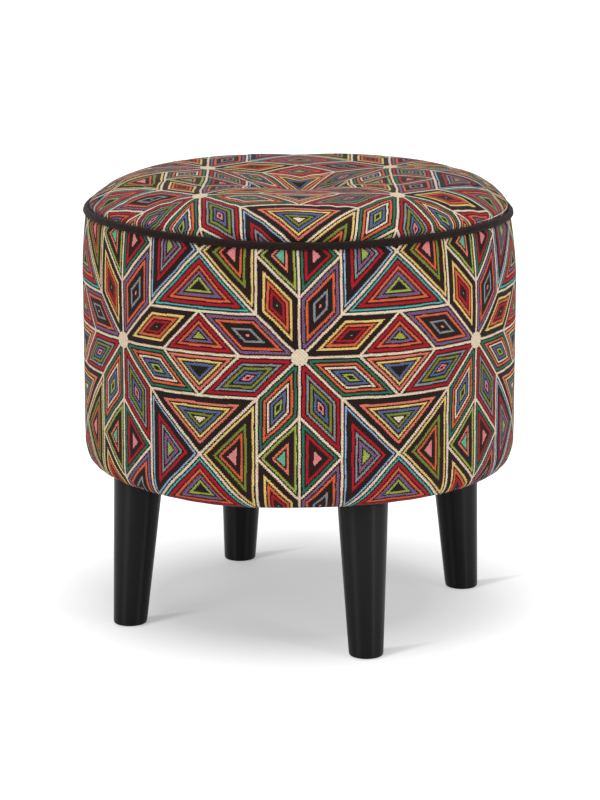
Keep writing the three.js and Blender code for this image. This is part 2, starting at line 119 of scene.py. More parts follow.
# Legs: splayed outwards on the diagonals
LEG_RING_RADIUS = 183
LEG_SPLAY = math.radians(4.1)
LEG_FOOT_RADIUS = 16.8
LEG_TOP_RADIUS = 25.3
LEG_TOP_HEIGHT = 165
FOOT_HEIGHT = 1.1
FOOT_ROUNDING = 2.2
GLIDE_RADIUS = 11.5
GLIDE_HEIGHT = 2.4
CORNERS = {
    "back_right": math.radians(45),
    "back_left": math.radians(135),
    "front_left": math.radians(225),
    "front_right": math.radians(315),
}

# The cloth's pattern: stars on a square grid, seven to a turn of the side
STARS_PER_TURN = 7
STAR_SPACING = TURN * BODY_RADIUS / STARS_PER_TURN
SEAT_SHIFT = (0, 42.5)
SIDE_SHIFT = (STAR_SPACING / 2, 47)
BUTTON_SHIFT = (STAR_SPACING / 2, STAR_SPACING / 2)
THREAD = 0.7
KNOT = 5 * THREAD
TOOTH = 0.42
WAVER = 0.5
WAVER_SCALE = 34.0


def to_linear(channel):
    share = channel / 255
    return share / 12.92 if share <= 0.04045 else ((share + 0.055) / 1.055) ** 2.4


def colour(red, green, blue, alpha=1.0):
    """A colour as it looks on a screen, in the linear values that nodes take."""
    return (to_linear(red), to_linear(green), to_linear(blue), alpha)


# Meshes


def in_scene(name, data):
    """A new object, linked into the scene."""
    obj = bpy.data.objects.new(name, data)
    bpy.context.scene.collection.objects.link(obj)
    return obj


def new_object(name, points, faces=(), edges=()):
    mesh = bpy.data.meshes.new(name)
    mesh.from_pydata(*([tuple(item) for item in items] for items in (points, edges, faces)))
    mesh.update()
    return in_scene(name, mesh)


def smooth(obj, crease_degrees):
    """Shades a mesh smooth, apart from edges sharper than an angle."""
    work = bmesh.new()
    work.from_mesh(obj.data)
    bmesh.ops.recalc_face_normals(work, faces=work.faces)
    limit = math.radians(crease_degrees)
    for edge in work.edges:
        edge.smooth = edge.calc_face_angle(0) < limit
    for face in work.faces:
        face.smooth = True
    work.to_mesh(obj.data)
    work.free()
    return obj


def round_axis(radius, angle, height=0.0):
    """Points round the stool's axis, from their radii, angles and heights."""
    return np.stack(np.broadcast_arrays(radius * np.cos(angle), radius * np.sin(angle), height), axis=-1)


def turned(name, profile, segments, place=Matrix()):
    """A closed profile of (radius, height), turned about Z. A point on the axis becomes one point."""
    points, rings = [], []
    for radius, height in profile:
        count = 1 if radius < 1e-6 else segments
        rings.append([len(points) + i % count for i in range(segments)])
        points.extend(round_axis(radius, TURN * np.arange(count) / segments, height))
    faces = []
    for low, high in zip(rings, rings[1:] + rings[:1]):
        for i in range(segments):
            j = (i + 1) % segments
            face = list(dict.fromkeys((low[i], low[j], high[j], high[i])))
            if len(face) > 2:
                faces.append(face)
    return new_object(name, [place @ Vector(p) * MM for p in points], faces)


def corner_points(obj):
    """The number of the point at each corner of each face."""
    index = np.empty(len(obj.data.loops), dtype=np.int64)
    obj.data.loops.foreach_get("vertex_index", index)
    return index


def lay_pattern(obj, places, shift):
    """Stores the cloth's UV map from a place in millimetres for each corner of each face."""
    layer = obj.data.uv_layers.new(name="cloth")
    layer.data.foreach_set("uv", ((places + np.array(shift)) * MM).astype(np.float32).ravel())


def read_points(mesh, what="co"):
    values = np.empty(len(mesh.vertices) * 3)
    mesh.vertices.foreach_get(what, values)
    return values.reshape(-1, 3)


def write_points(mesh, points):
    mesh.vertices.foreach_set("co", np.asarray(points).ravel())
    mesh.update()


def apply_modifiers(obj):
    graph = bpy.context.evaluated_depsgraph_get()
    graph.update()
    result = bpy.data.meshes.new_from_object(obj.evaluated_get(graph), depsgraph=graph)
    obj.modifiers.clear()
    obj.data = result
    return obj


# Rules for shapes


def wave_noise(angle, seed, lowest, highest):
    """A smooth random ripple round a turn, roughly from -1 to 1, made of whole waves."""
    random = np.random.default_rng(seed)
    total = np.zeros_like(angle)
    for count in range(lowest, highest + 1):
        total += random.normal() * np.cos(count * angle + random.uniform(0, TURN))
    return total / math.sqrt(highest - lowest + 1)


def grows(value, length):
    """0 up to a value of zero, then growing evenly to 1 over a length."""
    return np.clip(value / length, 0, 1)


def hump(distance, width):
    """1 at no distance, easing down to nothing on both sides."""
    return np.exp(-((distance / width) ** 2))


def wrapped(angle):
    """An angle between half a turn back and half a turn on."""
    return (angle + math.pi) % TURN - math.pi


def dents(angle, places):
    """How deep an edge is drawn in at places, each given as degrees round, depth and half width."""
    total = np.zeros_like(angle)
    for place, depth, width in places:
        total = total + depth * hump(wrapped(angle - math.radians(place)), math.radians(width))
    return total


def seam_level(angle):
    """How far the seam wanders up or down from its height."""
    from_front = wrapped(angle - FRONT)
    start, length = SEAM_RISE_DEGREES
    share = grows(np.abs(np.degrees(from_front)) - start, length)
    back = share**2 * (3 - 2 * share)
    wave = -SEAM_WAVE * np.cos(SEAM_WAVES * from_front)
    return wave * (1 - back) + SEAM_RISE * back - SEAM_TILT * np.sin(from_front)


def hem_level(angle):
    """How far the bottom edge is below or above its height, round a turn."""
    return -dents(angle - FRONT, HEM_SAGS)


def clear_of_seam(height):
    """0 at the seam and 1 where the crown is well above it."""
    return grows(height - SEAM_HEIGHT - CLEAR_START, CLEAR_RISE)


def tuft_pull(radius, angle, height):
    """How far the tuft and the seat's lean move a point of the crown."""
    from_back = angle - BACK
    drawn = -SEAT_LEAN * np.sin(from_back) - dents(from_back, TUFT_PULLS)
    return drawn * clear_of_seam(height) * grows(radius, FULL_PULL_RADIUS)


def shifted(points, share):
    """Moves points to the left as the photograph sees them, because the seam isn't quite central."""
    to_right = np.array((math.cos(CAMERA_AZIMUTH), math.sin(CAMERA_AZIMUTH), 0))
    return points - SEAM_SHIFT * np.expand_dims(share, -1) * to_right


def facing_camera(x, y):
    """Turns places seen from above so that the second value of each runs away from the camera."""
    cosine, sine = math.cos(CAMERA_AZIMUTH), math.sin(CAMERA_AZIMUTH)
    return np.stack([x * cosine + y * sine, -x * sine + y * cosine], axis=-1)


# The round forms, as profiles measured along the cloth


def crown_height(radius):
    dome = CROWN_RISE * (1 - (radius / CROWN_EDGE) ** CROWN_FULLNESS)
    return SEAM_HEIGHT + dome - BOWL_DEPTH * hump(radius, BOWL_RADIUS) - PIT_DEPTH * hump(radius, PIT_RADIUS)


def arc(centre, width, start, end, count, height=None):
    """Points on an arc, or on part of an oval, from one angle in degrees to another."""
    angle = np.radians(np.linspace(start, end, count))
    return np.stack([width * np.cos(angle), (height or width) * np.sin(angle)], axis=1) + centre


def bend(start, first_handle, second_handle, end, steps):
    """Points on a cubic curve between start and end, without start itself."""
    t = np.linspace(0, 1, steps + 1)[1:, None]
    start, first_handle, second_handle, end = map(np.array, (start, first_handle, second_handle, end))
    first = start * (1 - t) ** 3 + first_handle * 3 * t * (1 - t) ** 2
    return first + second_handle * 3 * t**2 * (1 - t) + end * t**3


class Profile:
    """A path of (radius, height) points that is read by the distance along it."""

    def __init__(self, points):
        self.points = np.asarray(points, dtype=float)
        steps = np.linalg.norm(np.diff(self.points, axis=0), axis=1)
        self.along = np.concatenate([[0], np.cumsum(steps)])
        self.length = self.along[-1]

    def at(self, distance):
        return [np.interp(distance, self.along, values) for values in self.points.T]


def crown_profile():
    radius = np.linspace(0, CROWN_FREE_RADIUS, CROWN_FREE_RADIUS + 1)
    crown = np.stack([radius, crown_height(radius)], axis=1)
    shoulder = bend(
        crown[-1],
        crown[-1] + (crown[-1] - crown[-2]) * 12,
        (TOP_SEAM_RADIUS + CROWN_SHOULDER[0], SEAM_HEIGHT + CROWN_SHOULDER[1]),
        (TOP_SEAM_RADIUS, SEAM_HEIGHT + CLEAR_START),
        20,
    )
    return Profile([*crown, *shoulder, (TOP_SEAM_RADIUS, SEAM_HEIGHT - TOP_SEAM_ALLOWANCE)])


def side_profile():
    height = np.linspace(WALL_TOP, WALL_BOTTOM, 74)
    drop = np.clip((height - SHOULDER_START) / SHOULDER_HEIGHT, 0, None)
    wall = np.stack([BODY_RADIUS - SHOULDER_DROP * drop**2, height], axis=1)
    start = (SIDE_SEAM_RADIUS, SEAM_HEIGHT - FOLD_DEPTH)
    fold = bend(
        start,
        (SIDE_SEAM_RADIUS, SEAM_HEIGHT - 2.2),
        (wall[0][0] - 0.3, SEAM_HEIGHT - 1.6),
        wall[0],
        12,
    )
    corner_centre = (BODY_RADIUS - CORNER_WIDTH, UNDERSIDE_HEIGHT + CORNER_HEIGHT)
    corner = arc(corner_centre, CORNER_WIDTH, 0, -90, 19, CORNER_HEIGHT)[1:]
    allowance = (SIDE_SEAM_RADIUS, SEAM_HEIGHT - SIDE_SEAM_ALLOWANCE)
    return Profile([allowance, start, *fold, *wall[1:], *corner, (HEM_RADIUS, UNDERSIDE_HEIGHT)])


CROWN = crown_profile()
SIDE = side_profile()

# How far along each cover's path the seam lies
TOP_SEAM_ALONG = CROWN.length - TOP_SEAM_ALLOWANCE
SIDE_SEAM_ALONG = 10


# Materials


class Value:
    """What a node puts out. A sum made with it adds a Math node to its tree."""

    def __init__(self, nodes, socket):
        self.nodes = nodes
        self.socket = socket

    def __add__(self, other):
        return self.nodes.math("ADD", self, other)

    def __sub__(self, other):
        return self.nodes.math("SUBTRACT", self, other)

    def __rsub__(self, other):
        return self.nodes.math("SUBTRACT", other, self)

    def __mul__(self, other):
        return self.nodes.math("MULTIPLY", self, other)

    def __truediv__(self, other):
        return self.nodes.math("DIVIDE", self, other)


class Nodes:
    """A tree of nodes. Its methods add a node and, apart from the first two, return what it puts out."""

    def __init__(self, tree):
        self.tree = tree

    def feed(self, socket, value):
        if isinstance(value, Value):
            self.tree.links.new(value.socket, socket)
        else:
            socket.default_value = value

    def add(self, kind, feeds=None, **settings):
        node = self.tree.nodes.new(kind)
        for key, value in settings.items():
            setattr(node, key, value)
        for name, value in (feeds or {}).items():
            self.feed(node.inputs[name], value)
        return node

    def out(self, kind, feeds=None, output=0, **settings):
        return Value(self, self.add(kind, feeds, **settings).outputs[output])

    def all_out(self, node):
        return [Value(self, socket) for socket in node.outputs]

    def math(self, operation, *values):
        return self.out("ShaderNodeMath", dict(enumerate(values)), operation=operation)

    def scaled(self, vector, factors):
        """A vector or a colour with each of its values multiplied by its own factor."""
        return self.out("ShaderNodeVectorMath", {0: vector, 1: factors}, operation="MULTIPLY")

    def tinted(self, vector, factor):
        """A vector or a colour multiplied by one number."""
        return self.out("ShaderNodeVectorMath", {0: vector, "Scale": factor}, operation="SCALE")

    def split(self, vector):
        return self.all_out(self.add("ShaderNodeSeparateXYZ", {0: vector}))

    def joined(self, x, y):
        return self.out("ShaderNodeCombineXYZ", {0: x, 1: y})

    def length(self, x, y):
        return self.math("SQRT", x * x + y * y)

    def wave(self, value, length, kind="SINE"):
        return self.math(kind, value * (TURN / length))

    def place(self):
        return self.out("ShaderNodeTexCoord", output="Object")

    def on_cloth(self):
        return self.out("ShaderNodeUVMap", uv_map="cloth")

    def noise(self, vector, scale, detail=3.0, roughness=0.5, distortion=0.0):
        sizes = {"Scale": scale, "Detail": detail, "Roughness": roughness, "Distortion": distortion}
        return self.out("ShaderNodeTexNoise", {"Vector": vector, **sizes})

    def speck(self, vector, output="Value"):
        """A random number, or a random colour, for each whole place."""
        return self.out("ShaderNodeTexWhiteNoise", {"Vector": vector}, output, noise_dimensions="2D")

    def spread(self, value, low, high, new_low, new_high):
        """A value moved from one range to another, and held within it."""
        return self.out("ShaderNodeMapRange", dict(enumerate((value, low, high, new_low, new_high))))

    def varied(self, noise, low, high):
        """A noise moved from the range that it mostly keeps to into another."""
        return self.spread(noise, 0.3, 0.7, low, high)

    def ramp(self, value, stops, interpolation="LINEAR"):
        """A ramp's colour and its alpha, from stops of a position and a colour."""
        node = self.add("ShaderNodeValToRGB", {0: value})
        node.color_ramp.interpolation = interpolation
        elements = node.color_ramp.elements
        elements.remove(elements[-1])
        for i, (position, shade) in enumerate(stops):
            element = elements[0] if i == 0 else elements.new(position)
            element.position = position
            element.color = shade
        return self.all_out(node)

    def two_tone(self, value, first, second, low=0.3, high=0.7):
        """A blend from one colour to another, both as they look on a screen."""
        return self.ramp(value, [(low, colour(*first)), (high, colour(*second))])[0]

    def mixed(self, share, first, second, kind="RGBA"):
        """The first where share is 0 and the second where it is 1."""
        feeds = {"Factor": share, "A": first, "B": second}
        return self.out("ShaderNodeMix", feeds, "Result", data_type=kind)

    def bump(self, height, depth):
        return self.out("ShaderNodeBump", {"Distance": depth, "Height": height})


class Finish(Nodes):
    """A material's nodes."""

    def __init__(self, name):
        self.material = bpy.data.materials.new(name)
        self.material.use_nodes = True
        super().__init__(self.material.node_tree)
        self.tree.nodes.clear()

    def end(self, shader):
        self.add("ShaderNodeOutputMaterial", {"Surface": shader})
        return self.material

    def surface(self, base, roughness, normal, **others):
        feeds = {"Base Color": base, "Roughness": roughness, "Normal": normal}
        feeds.update({key.replace("_", " "): value for key, value in others.items()})
        return self.end(self.out("ShaderNodeBsdfPrincipled", feeds))


YARNS = {
    "cream": colour(207, 190, 165),
    "sand": colour(206, 177, 104),
    "rust": colour(194, 88, 54),
    "crimson": colour(156, 20, 32),
    "coral": colour(200, 108, 86),
    "rose": colour(202, 118, 120),
    "sky": colour(132, 163, 188),
    "slate": colour(66, 82, 116, 0.35),
    "ash": colour(122, 126, 128),
    "pine": colour(38, 100, 78),
    "mint": colour(94, 156, 124),
    "lime": colour(138, 152, 68),
    "olive": colour(108, 118, 46),
    "teal": colour(70, 154, 150),
    "plum": colour(128, 30, 58, 0.0),
    "ink": colour(28, 20, 18),
}

# A yarn's alpha below 1 says how much of this one takes turns with it
SECOND_YARN = colour(92, 106, 140)
SPECK = 0.18

# The bands of each cell of the pattern from its edge inwards, with their widths in millimetres,
# and the yarn of the core that is left. A dark outline comes before each.
SEAM_LINE = 0.9
OUTLINE = 1.38
FRINGE = 0.4
CELLS = {
    "kite_rising": ([("ink", 1.8), ("sand", 2.0), ("rust", 1.9), ("crimson", 1.8), ("ink", 0.5)], "mint"),
    "kite_falling": ([("plum", 2.1), ("rust", 1.9), ("ink", 1.5), ("ash", 1.6), ("ink", 0.4)], "rose"),
    "kite_rising_low": (
        [("crimson", 2.2), ("ash", 1.6), ("olive", 2.0), ("slate", 1.7), ("rose", 1.3)],
        "ink",
    ),
    "kite_falling_low": (
        [("pine", 1.7), ("rust", 1.9), ("cream", 1.4), ("slate", 1.8), ("lime", 1.4)],
        "ink",
    ),
    "diamond_top": ([("crimson", 2.2), ("rust", 1.8), ("plum", 1.9)], "lime"),
    "diamond_bottom": ([("coral", 2.0), ("sand", 1.7), ("slate", 1.9)], "ink"),
    "diamond_right": ([("pine", 1.7), ("crimson", 2.2), ("ink", 1.6)], "rose"),
    "diamond_left": ([("lime", 1.9), ("ink", 2.0), ("coral", 1.6)], "mint"),
    "wedge_top": ([("teal", 1.4), ("crimson", 2.4), ("rust", 1.9), ("plum", 2.2), ("lime", 1.8)], "ink"),
    "wedge_bottom": ([("ink", 2.2), ("coral", 2.0), ("sand", 1.7), ("slate", 2.0), ("olive", 1.7)], "cream"),
    "wedge_right": ([("sky", 1.2), ("ink", 2.0), ("crimson", 2.2), ("ash", 1.6), ("plum", 2.2)], "lime"),
    "wedge_left": ([("sand", 1.8), ("ink", 1.8), ("olive", 2.2), ("rust", 1.8), ("ink", 0.8)], "rose"),
}
WIDEST_CELL = 28
STAR_MIDDLE = 6.5


def fringe(yarn):
    """The colour that a band's threads have where they dive under the dark outline."""
    red, green, blue, own = YARNS[yarn]
    return (0.4 * red + 0.03, 0.3 * green + 0.004, 0.3 * blue + 0.005, own)


def band_stops(bands, core):
    """Colour stops from a cell's edge inwards: the seam line, the outlined bands, then the core."""
    stops = [(0.0, YARNS["cream"])]
    reached = SEAM_LINE
    before = "cream"
    for yarn, width in [*bands, (core, 0)]:
        stops.append((reached / WIDEST_CELL, fringe(before)))
        stops.append(((reached + FRINGE) / WIDEST_CELL, YARNS["ink"]))
        stops.append(((reached + FRINGE + OUTLINE) / WIDEST_CELL, YARNS[yarn]))
        reached += FRINGE + OUTLINE + width
        before = yarn
    return stops


def tapestry():
    """A woven tapestry: eight-pointed stars of nested kites, with nested diamonds and wedges between."""
    n = Finish("tapestry")
    across, up, _ = n.split(n.scaled(n.on_cloth(), (1 / MM, 1 / MM, 1.0)))

    # The cloth isn't drawn quite evenly when it's put on, so the lines waver
    def waver(way):
        place = n.scaled(n.on_cloth(), (way, 1.0, 1.0))
        return n.varied(n.noise(place, WAVER_SCALE, 2.0), -WAVER, WAVER)

    # Each thread has one colour, so the pattern is read at the middle of a thread
    column, row = (n.math("FLOOR", place / THREAD) for place in (across, up))
    thread_x = (column + 0.5) * THREAD + waver(1.0)
    thread_y = (row + 0.5) * THREAD + waver(-1.0)

    # Fold the grid of stars into an eighth of one star
    half = STAR_SPACING / 2
    from_star_x, from_star_y = (n.math("PINGPONG", place + half, half) for place in (thread_x, thread_y))
    far = n.math("MAXIMUM", from_star_x, from_star_y)
    near = n.math("MINIMUM", from_star_x, from_star_y)

    # Distances to the lines that bound the cells. Slanting lines have a tooth at each knot
    slant = math.sqrt(0.5)
    reach = STAR_SPACING / (2 + math.sqrt(2)) * slant
    run = far + near
    tooth = (n.math("PINGPONG", run, KNOT / 2) - KNOT / 4) * (TOOTH / (KNOT / 4))
    to_diagonal = (far - near) * slant + tooth
    to_diamond = reach - to_diagonal
    to_wedge = reach - near
    to_middle = n.math("MAXIMUM", far, run * slant) - STAR_MIDDLE
    in_diamond = n.math("LESS_THAN", to_diamond, 0.0)
    in_wedge = n.math("LESS_THAN", to_wedge, 0.0)
    kite_sides = n.math("MINIMUM", near, to_diagonal)
    kite_ends = n.math("MINIMUM", to_middle, n.math("MINIMUM", to_diamond, to_wedge))
    in_kite = n.math("MINIMUM", kite_sides, kite_ends)
    inside_diamond = n.math("MINIMUM", near, to_diamond * -1.0)
    inside_wedge = n.math("MINIMUM", to_diagonal, to_wedge * -1.0)
    depth = n.mixed(in_diamond, in_kite, inside_diamond, "FLOAT")
    depth = n.mixed(in_wedge, depth, inside_wedge, "FLOAT") / WIDEST_CELL

    # Which of the cells this is
    beside = n.math("GREATER_THAN", from_star_x, from_star_y)
    on_right, on_top = (
        n.math("GREATER_THAN", n.math("FRACT", place / STAR_SPACING), 0.5) for place in (thread_x, thread_y)
    )
    rising = n.math("COMPARE", n.math("COMPARE", on_right, on_top, 0.5), beside, 0.5)
    cell = {key: n.ramp(depth, band_stops(*bands), "CONSTANT") for key, bands in CELLS.items()}

    def pick(share, first, second):
        return n.mixed(share, first[0], second[0]), n.mixed(share, first[1], second[1], "FLOAT")

    def pick_of_four(kind):
        sideways = pick(on_right, cell[f"{kind}_left"], cell[f"{kind}_right"])
        return pick(beside, sideways, pick(on_top, cell[f"{kind}_bottom"], cell[f"{kind}_top"]))

    low_kites = pick(rising, cell["kite_falling_low"], cell["kite_rising_low"])
    kites = pick(on_top, low_kites, pick(rising, cell["kite_falling"], cell["kite_rising"]))
    inner = pick(in_diamond, kites, pick_of_four("diamond"))
    shown, own_share = pick(in_wedge, inner, pick_of_four("wedge"))

    # Some bands are of two yarns in turn
    pair_x, pair_y = (n.math("FLOOR", place / (2 * THREAD)) for place in (across, up))
    checker = n.math("MODULO", n.math("ABSOLUTE", pair_x + pair_y), 2.0)
    yarn = n.mixed(checker * (1.0 - own_share), shown, SECOND_YARN)

    # The weave: fine ribbed threads in a lattice of knots, each thread a little unlike the next
    knot = n.wave(across, KNOT, "COSINE") * n.wave(up, KNOT, "COSINE")
    rib = (1.0 - n.wave(up, THREAD, "COSINE")) * 0.5
    float_height = rib * n.spread(n.wave(across, THREAD, "COSINE"), -1.0, 1.0, 1.0, 0.62)
    any_tint = n.tinted(n.speck(n.joined(column, row), "Color"), 2.0)
    thread_tint = n.mixed(SPECK, (1.0, 1.0, 1.0, 1.0), any_tint)
    streak = n.speck(n.joined(row, 7.0))
    wear = n.noise(n.on_cloth(), 14.0, 2.0)
    # Painted shade and light: darker between the threads' floats and between the knots, lighter on each
    # knot; streak and wear vary the yarn's own tone
    shade = n.spread(float_height, 0.0, 1.0, 0.8, 1.1) * n.spread(knot, -1.0, 1.0, 0.8, 1.2)
    shade = shade * n.spread(streak, 0.0, 1.0, 0.95, 1.05) * n.varied(wear, 0.95, 1.05)
    fuzz = n.noise(n.on_cloth(), 2600.0, 2.0)
    return n.surface(
        n.tinted(n.scaled(yarn, thread_tint), shade),
        n.varied(fuzz, 0.82, 0.95),
        n.bump(float_height + knot + fuzz * 0.35, 0.22 * MM),
        Specular_IOR_Level=0.1,
        Sheen_Weight=0.03,
        Sheen_Roughness=0.5,
    )


def piping_cloth():
    """Dark brown cloth, cut on the bias and wrapped round a cord."""
    thread = 0.9
    n = Finish("piping_cloth")
    x, y, z = n.split(n.place())
    along = n.math("ARCTAN2", y, x) * PIPING_RING_RADIUS
    outwards = n.length(x, y) - PIPING_RING_RADIUS * MM
    around = n.math("ARCTAN2", z - SEAM_HEIGHT * MM, outwards) * PIPING_RADIUS
    weave = (n.wave(along + around, thread) + n.wave(along - around, thread)) * 0.25
    pucker = n.noise(n.joined(along * 0.12, around * 0.3), 1.0, 3.0, 0.6, 0.8)
    fibre = n.noise(n.place(), 1500.0, 2.0)
    base = n.two_tone(pucker, (21, 12, 10), (32, 21, 18))
    # Painted shade: the twill's ridges are lighter and its furrows darker; the fibres' tone varies at random
    return n.surface(
        n.tinted(base, n.spread(weave, -0.5, 0.5, 0.75, 1.2) * n.varied(fibre, 0.85, 1.2)),
        n.varied(fibre, 0.8, 0.95),
        n.bump(weave * 0.3 + pucker * 1.6, 0.35 * MM),
        Specular_IOR_Level=0.1,
        Sheen_Weight=0.05,
        Sheen_Roughness=0.4,
    )


def black_lacquer():
    """Satin black lacquer over turned wood, with the grain just showing through it."""
    n = Finish("black_lacquer")
    grain = n.noise(n.scaled(n.place(), (260.0, 260.0, 9.0)), 1.0, 4.0, 0.6, 0.4)
    peel = n.noise(n.place(), 420.0, 2.0)
    handling = n.noise(n.place(), 22.0, 3.0)
    base = n.two_tone(grain, (12, 12, 12), (15, 14, 14), low=0.35)
    # Painted shade: the lacquer's colour is darker towards the foot, where the leg is lit less
    painted_shade_towards_foot = n.spread(n.split(n.place())[2], 0.0, 130 * MM, 0.45, 1.6)
    return n.surface(
        n.tinted(base, painted_shade_towards_foot),
        n.varied(handling, 0.40, 0.44) + grain * 0.03,
        n.bump(grain * 0.6 + peel * 0.25, 0.02 * MM),
        Specular_IOR_Level=0.14,
        Anisotropic=0.9,
        Anisotropic_Rotation=0.25,
        Tangent=n.out("ShaderNodeTangent", direction_type="RADIAL", axis="Z"),
    )


def dust_cloth():
    """Black non-woven cloth, with its grid of pressed dots and loose fibres."""
    spacing = 1.9 * MM
    n = Finish("dust_cloth")
    x, y, _ = n.split(n.place())
    dots = n.wave(x + y, spacing) * n.wave(x - y, spacing)
    fibre = n.noise(n.place(), 900.0, 4.0, 0.7, 1.2)
    cloud = n.noise(n.place(), 30.0, 3.0)
    base = n.two_tone(fibre, (21, 21, 22), (44, 44, 45), 0.35, 0.65)
    # Painted shade: darker in the pressed-in dots; the cloud is the cloth's own uneven tone
    shade = n.spread(dots, 0.3, 1.0, 1.0, 0.7) * n.varied(cloud, 0.88, 1.12)
    height = fibre - n.math("MAXIMUM", dots, 0.0) * 0.8
    return n.surface(n.tinted(base, shade), n.varied(fibre, 0.8, 0.95), n.bump(height, 0.12 * MM))


def zinc():
    """Zinc-plated steel, faintly clouded."""
    n = Finish("zinc_plate")
    cloud = n.noise(n.place(), 300.0, 4.0)
    base = n.two_tone(cloud, (150, 152, 155), (188, 190, 193))
    return n.surface(base, n.varied(cloud, 0.28, 0.45), n.bump(cloud, 0.02 * MM), Metallic=1.0)


def glide_plastic():
    """Moulded black plastic, scuffed where it meets the floor."""
    n = Finish("glide_plastic")
    _, _, z = n.split(n.place())
    grain = n.noise(n.place(), 1400.0, 2.0)
    scuff = n.noise(n.place(), 160.0, 4.0, 0.7) * n.spread(z, 0.0, 1.2 * MM, 1.0, 0.0)
    base = n.two_tone(scuff, (26, 26, 27), (70, 69, 67))
    return n.surface(base, n.spread(scuff, 0.0, 0.6, 0.42, 0.7), n.bump(grain, 0.03 * MM))


def wood(name, dark, pale, ring_scale, stretch):
    """Raw wood, with its grain stretched one way."""
    n = Finish(name)
    grain_place = n.scaled(n.place(), stretch)
    rings = n.noise(grain_place, ring_scale, 5.0, 0.6, 1.5)
    pores = n.noise(grain_place, ring_scale * 9, 3.0, 0.7)
    base = n.tinted(n.two_tone(rings, dark, pale), n.varied(pores, 0.88, 1.08))
    return n.surface(base, n.varied(pores, 0.6, 0.8), n.bump(rings + pores * 0.5, 0.1 * MM))


def plywood():
    """Plywood: flat plies that show as bands along a board's edge."""
    ply = 1.8 * MM
    n = Finish("plywood")
    _, _, z = n.split(n.place())
    band = n.math("GREATER_THAN", n.math("PINGPONG", z, ply), ply / 2)
    grain = n.noise(n.scaled(n.place(), (18.0, 160.0, 500.0)), 1.0, 5.0, 0.6, 0.8)
    face = n.two_tone(grain, (176, 140, 92), (216, 184, 136))
    base = n.tinted(face, n.spread(band, 0.0, 1.0, 0.82, 1.0))
    return n.surface(base, n.varied(grain, 0.65, 0.8), n.bump(grain, 0.1 * MM))


def foam():
    """Open-cell foam."""
    n = Finish("foam")
    pores = n.out("ShaderNodeTexVoronoi", {"Vector": n.place(), "Scale": 900.0}, "Distance")
    base = n.two_tone(n.noise(n.place(), 12.0), (232, 224, 196), (240, 235, 214))
    # Painted shade: the pores are darker
    return n.surface(n.tinted(base, n.spread(pores, 0.0, 0.6, 0.8, 1.05)), 0.95, n.bump(pores, 0.3 * MM))


def fibre_fill(name, dark, pale, scale):
    """Loose or twisted fibres."""
    n = Finish(name)
    strands = n.noise(n.place(), scale, 6.0, 0.75, 2.0)
    base = n.two_tone(strands, dark, pale)
    return n.surface(base, n.varied(strands, 0.85, 1.0), n.bump(strands, 0.3 * MM))


TAPESTRY = tapestry()
PIPING_CLOTH = piping_cloth()
LACQUER = black_lacquer()
DUST_CLOTH = dust_cloth()
ZINC = zinc()
GLIDE_PLASTIC = glide_plastic()
PLYWOOD = plywood()
PINE = wood("pine", (196, 154, 100), (224, 192, 142), 30.0, (1.0, 1.0, 0.08))
HARDBOARD = wood("hardboard", (102, 70, 44), (132, 96, 62), 300.0, (1.0, 1.0, 1.0))
FOAM = foam()
WADDING = fibre_fill("wadding", (226, 224, 216), (246, 245, 240), 240.0)
TWINE = fibre_fill("twine", (186, 172, 144), (222, 212, 188), 900.0)


def dress(obj, material, *nodes, slot):
    """Gives a finished piece its material, makes it ride and hides the CAD nodes that it stands for."""
    obj.data.materials.clear()
    obj.data.materials.append(material)
    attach(obj, BODY)
    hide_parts(*nodes)


# Cloth covers

# The seat's cover while it is stuffed: how it is held, pushed and stretched
STUFFED_CLOTH = {
    "quality": 6,
    "mass": 0.3,
    "tension_stiffness": 20,
    "compression_stiffness": 20,
    "shear_stiffness": 8,
    "bending_stiffness": 0.6,
    "shrink_min": -0.02,
    "use_pressure": True,
    "uniform_pressure_force": 4,
}
STUFFING_STEPS = 20
FARTHEST_OUT = 1.0 * MM
FARTHEST_IN = 0.3 * MM

# Fine unevenness of the seat's cover: gathers round the tuft and puckers at the seam
SEAT_CELLS = 104
TUFT_GATHER = 0.9
TUFT_GATHER_RADIUS = 26
TUFT_GATHER_WIDTH = 15
SEAT_PUCKER = 0.35
SEAT_PUCKER_INSET = 26
SEAT_PUCKER_WIDTH = 14

# Fine unevenness of the side's cover: puckers at the seam, hollows in the wall, gathers at the bottom edge
SIDE_COLUMNS = 400
SIDE_ROWS = 92
SIDE_PUCKER = 0.3
SIDE_PUCKER_WIDTH = 12
SIDE_HOLLOW = 0.35
SIDE_HOLLOW_RISE = 30
HEM_GATHER = 0.3
HEM_GATHER_TOP = 190
HEM_SAG_TOP = 200
HEM_SAG_RADIUS = 192
BACK_SEAM_DEPTH = 0.9
BACK_SEAM_WIDTH = 1.6
LEG_OPENING_ROOM = 1.2
LEG_OPENING_RIM = 8


def disc_grid(cells):
    """A square grid of quads laid out on a round disc of radius 1, with no pole."""
    edge = np.linspace(-1, 1, cells + 1)
    a, b = np.meshgrid(edge, edge)
    wide = np.abs(a) >= np.abs(b)
    radius = np.where(wide, a, b)
    with np.errstate(divide="ignore", invalid="ignore"):
        angle = np.where(wide, math.pi / 4 * b / a, math.pi / 2 - math.pi / 4 * a / b)
    angle = np.nan_to_num(angle)
    index = np.arange((cells + 1) ** 2).reshape(cells + 1, cells + 1)
    corners = [index[:-1, :-1], index[:-1, 1:], index[1:, 1:], index[1:, :-1]]
    quads = np.stack(corners, axis=2).reshape(-1, 4)
    return (radius * np.cos(angle)).ravel(), (radius * np.sin(angle)).ravel(), quads


